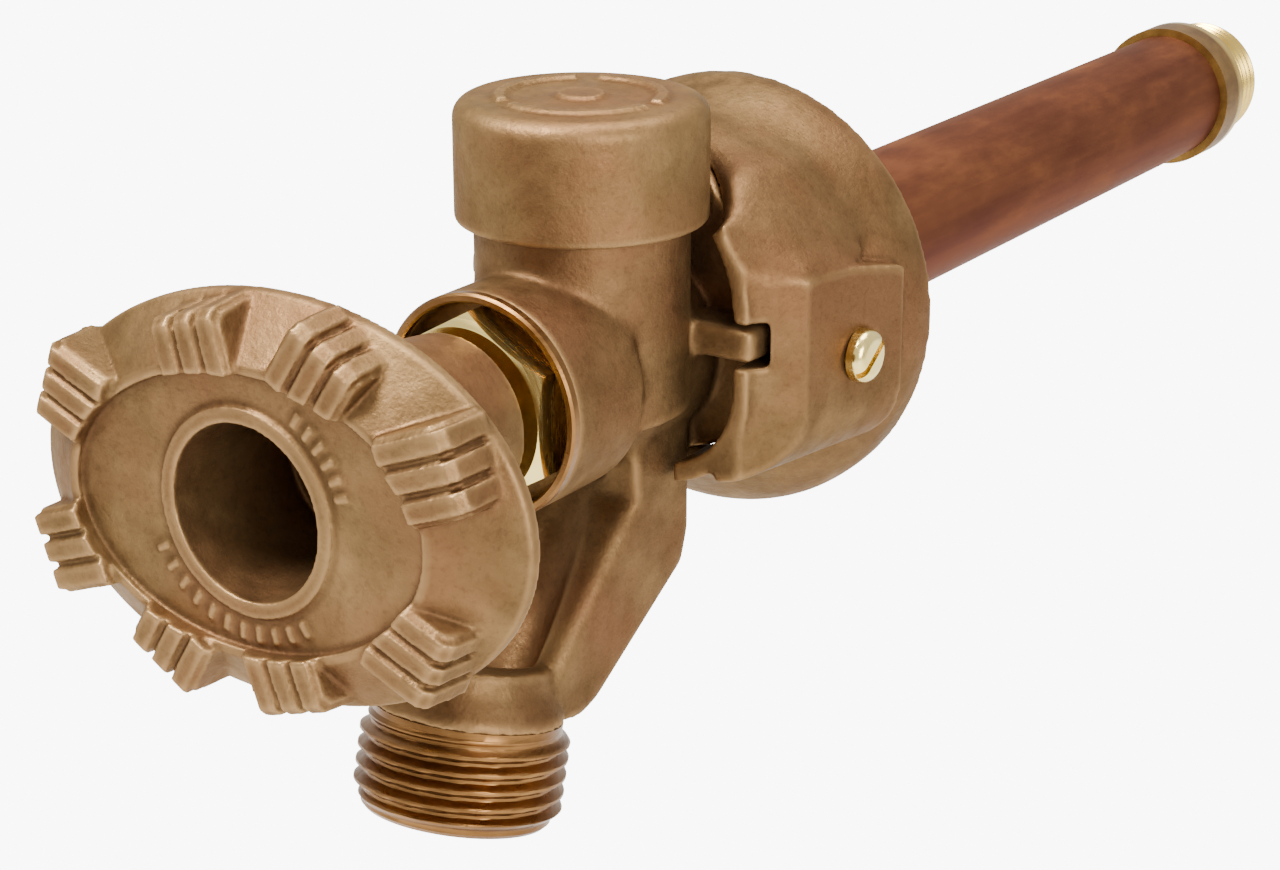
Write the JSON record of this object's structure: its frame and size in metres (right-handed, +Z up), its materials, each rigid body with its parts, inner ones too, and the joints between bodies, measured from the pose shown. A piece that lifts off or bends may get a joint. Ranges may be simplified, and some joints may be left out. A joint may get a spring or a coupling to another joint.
{
  "type": "hose bib",
  "caption": "Freezeless wall faucet: oval hand wheel, capped vacuum breaker, slanting hose outlet, clamp-on wall flange and long casing tube.",
  "frame": {"origin": "centre of the casing tube at the wall face, which is the flange's back face", "axes": "+Z up, +Y along the tube into the wall, hand wheel towards -Y"},
  "size_m": [0.0709, 0.274, 0.0909],
  "materials": {
    "cast_bronze": "sand-cast bronze, matt, fine grain",
    "cast_bronze_smooth": "sand-cast bronze, matt, slightly smoother",
    "cast_bronze_handle": "die-cast metal painted bronze brown, matt",
    "copper": "dull reddish copper",
    "polished_brass": "turned brass, polished",
    "bright_brass": "bright yellow brass",
    "machined_brass": "machined brass",
    "white_plastic": "moulded acetal",
    "spring_steel": "stainless spring wire and strip",
    "stainless_steel": "stainless steel, lightly worn",
    "black_rubber": "black nitrile rubber",
    "graphite_packing": "graphite-loaded packing"
  },
  "bodies": {
    "head": {"valve_body": "cast_bronze", "wall_flange": "cast_bronze", "flange_screw": "bright_brass", "casing_tube": "copper", "inlet_fitting": "polished_brass", "breaker_cap": "cast_bronze_smooth", "cap_o_ring": "black_rubber", "breaker_seat": "machined_brass", "packing_nut": "bright_brass", "packing_ring": "graphite_packing", "packing_washer": "machined_brass", "stem_bush": "machined_brass", "rod_guide": "white_plastic"},
    "valve": {"valve_plunger": "machined_brass", "rod_clip": "spring_steel", "seat_washer": "black_rubber", "washer_screw": "bright_brass"},
    "wheel": {"handle": "cast_bronze_handle", "handle_screw": "stainless_steel", "handle_washer": "stainless_steel", "stem": "machined_brass", "operating_rod": "machined_brass"},
    "poppet": {"breaker_poppet": "white_plastic", "poppet_seal": "black_rubber", "breaker_spring": "spring_steel"}
  },
  "joints": [
    {"name": "stem_travel", "type": "slide", "parent": "head", "child": "valve", "axis": [0, -1, 0], "range_m": [0, 0.006]},
    {"name": "handle_turn", "type": "hinge", "parent": "valve", "child": "wheel", "pos_m": [0, 0, 0], "axis": [0, -1, 0], "range_deg": [0, 540]},
    {"name": "poppet_lift", "type": "slide", "parent": "head", "child": "poppet", "axis": [0, 0, 1], "range_m": [0, 0.003], "stiffness_N_per_m": 20, "springref_m": -0.01, "deforming": ["breaker_spring"]}
  ],
  "couplings": [
    {"joint": "stem_travel", "follows": "handle_turn", "m_per_rad": 0.00063662}
  ]
}
